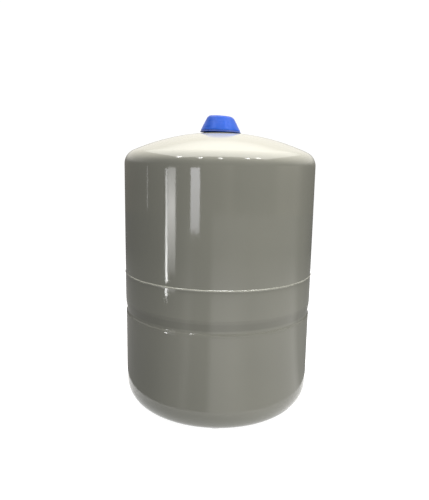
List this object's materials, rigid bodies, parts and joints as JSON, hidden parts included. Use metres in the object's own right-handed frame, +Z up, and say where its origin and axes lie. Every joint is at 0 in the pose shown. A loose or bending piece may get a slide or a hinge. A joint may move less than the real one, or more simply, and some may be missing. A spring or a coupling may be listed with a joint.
{
  "type": "expansion vessel",
  "caption": "Upright diaphragm expansion vessel: welded steel shells with domed ends, a gas valve under a tapered push-on cap, and a threaded water connection underneath.",
  "frame": {"origin": "centre of the water connection's end face, the lowest point of the object", "axes": "+Z up along the vessel's axis, from the water connection to the gas valve; +X and +Y across it"},
  "size_m": [0.2028, 0.2028, 0.3507],
  "materials": {
    "paint": "warm grey gloss powder coat",
    "steel": "zinc plated",
    "stainless": "turned",
    "brass": "turned",
    "rubber": "moulded",
    "liner_plastic": "moulded",
    "blue_plastic": "moulded, semi gloss"
  },
  "bodies": {
    "vessel": {"upper_shell": "paint", "lower_shell": "paint", "girth_weld": "paint", "clench_ring": "steel", "liner": "liner_plastic", "connection_nipple": "stainless", "connection_weld": "paint", "liner_seal": "rubber", "liner_nut": "liner_plastic", "valve_boss": "steel", "boss_weld": "paint", "cover_seal": "rubber", "valve_body": "brass", "body_seal": "rubber", "core_barrel": "brass"},
    "diaphragm": {"diaphragm": "rubber"},
    "valve_pin": {"valve_pin": "brass", "pin_washer": "rubber", "core_spring": "stainless"},
    "cover": {"valve_cover": "blue_plastic"}
  },
  "joints": [
    {"name": "cover_pull", "type": "slide", "parent": "vessel", "child": "cover", "axis": [0, 0, 1], "range_m": [0, 0.03]},
    {"name": "pin_press", "type": "slide", "parent": "vessel", "child": "valve_pin", "axis": [0, 0, -1], "range_m": [0, 0.0012], "stiffness_N_per_m": 1500, "springref_m": -0.0015, "deforming": ["core_spring"]},
    {"name": "diaphragm_travel", "type": "slide", "parent": "vessel", "child": "diaphragm", "axis": [0, 0, 1], "range_m": [0, 0.06], "deforming": ["diaphragm"]}
  ]
}
